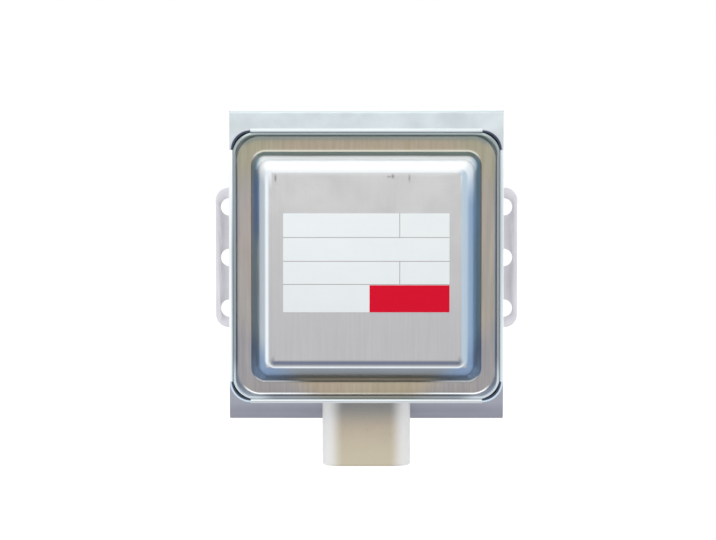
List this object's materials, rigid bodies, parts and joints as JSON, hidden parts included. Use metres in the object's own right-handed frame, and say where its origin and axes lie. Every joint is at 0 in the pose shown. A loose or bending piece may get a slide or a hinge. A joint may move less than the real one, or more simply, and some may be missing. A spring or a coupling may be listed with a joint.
{
  "type": "magnetron",
  "caption": "Packaged oven magnetron: folded steel yoke with finned anode and ring magnets, square filter box with pressed cover, terminal block, antenna with gasket.",
  "frame": {"origin": "centre of the mounting face on the tube's axis", "axes": "+Y along the tube out of the antenna, -Z towards the terminals, +X to the right seen from the filter cover"},
  "size_m": [0.095, 0.1161, 0.1027],
  "materials": {
    "zinc_plated_steel": "bright zinc plate, satin",
    "fin_aluminium": "bright rolled sheet",
    "ferrite": "dark matte sintered",
    "copper": "bare copper",
    "soft_iron": "pressed and plated",
    "seal_steel": "bright drawn",
    "tungsten": "dull grey",
    "alumina": "unglazed pink",
    "capacitor_ceramic": "unglazed",
    "terminal_plastic": "beige moulded",
    "epoxy": "cast resin",
    "tinned_brass": "tinned",
    "enamelled_wire": "enamel",
    "knitted_wire": "knitted wire mesh"
  },
  "bodies": {
    "root": {"yoke_frame": "zinc_plated_steel", "mounting_plate": "zinc_plated_steel", "output_magnet": "ferrite", "input_magnet": "ferrite", "anode_cylinder": "copper", "anode_vane_01": "copper", "anode_vane_02": "copper", "anode_vane_03": "copper", "anode_vane_04": "copper", "anode_vane_05": "copper", "anode_vane_06": "copper", "anode_vane_07": "copper", "anode_vane_08": "copper", "anode_vane_09": "copper", "anode_vane_10": "copper", "output_inner_strap": "copper", "input_inner_strap": "copper", "output_outer_strap": "copper", "input_outer_strap": "copper", "output_pole_piece": "soft_iron", "input_pole_piece": "soft_iron", "output_seal_cup": "seal_steel", "input_seal_cup": "seal_steel", "filament": "tungsten", "output_end_hat": "tungsten", "input_end_hat": "tungsten", "cathode_centre_lead": "tungsten", "cathode_side_lead": "tungsten", "stem_ceramic": "alumina", "stem_terminal_left": "tinned_brass", "stem_terminal_right": "tinned_brass", "cooling_fin_1": "fin_aluminium", "cooling_fin_2": "fin_aluminium", "cooling_fin_3": "fin_aluminium", "cooling_fin_4": "fin_aluminium", "cooling_fin_5": "fin_aluminium", "antenna_lead": "copper", "antenna_ceramic": "alumina", "exhaust_tube": "copper", "antenna_cap": "seal_steel", "rf_gasket": "knitted_wire", "filter_box": "zinc_plated_steel", "filter_cover": "zinc_plated_steel", "capacitor_case": "terminal_plastic", "capacitor_potting": "epoxy", "capacitor_ground_plate": "zinc_plated_steel", "capacitor_inner_case": "terminal_plastic", "capacitor_ceramic": "capacitor_ceramic", "terminal_blade_left": "tinned_brass", "terminal_blade_right": "tinned_brass", "capacitor_rivet_left": "seal_steel", "capacitor_rivet_right": "seal_steel", "choke_coil_left": "enamelled_wire", "choke_coil_right": "enamelled_wire", "choke_core_left": "ferrite", "choke_core_right": "ferrite"}
  },
  "joints": []
}
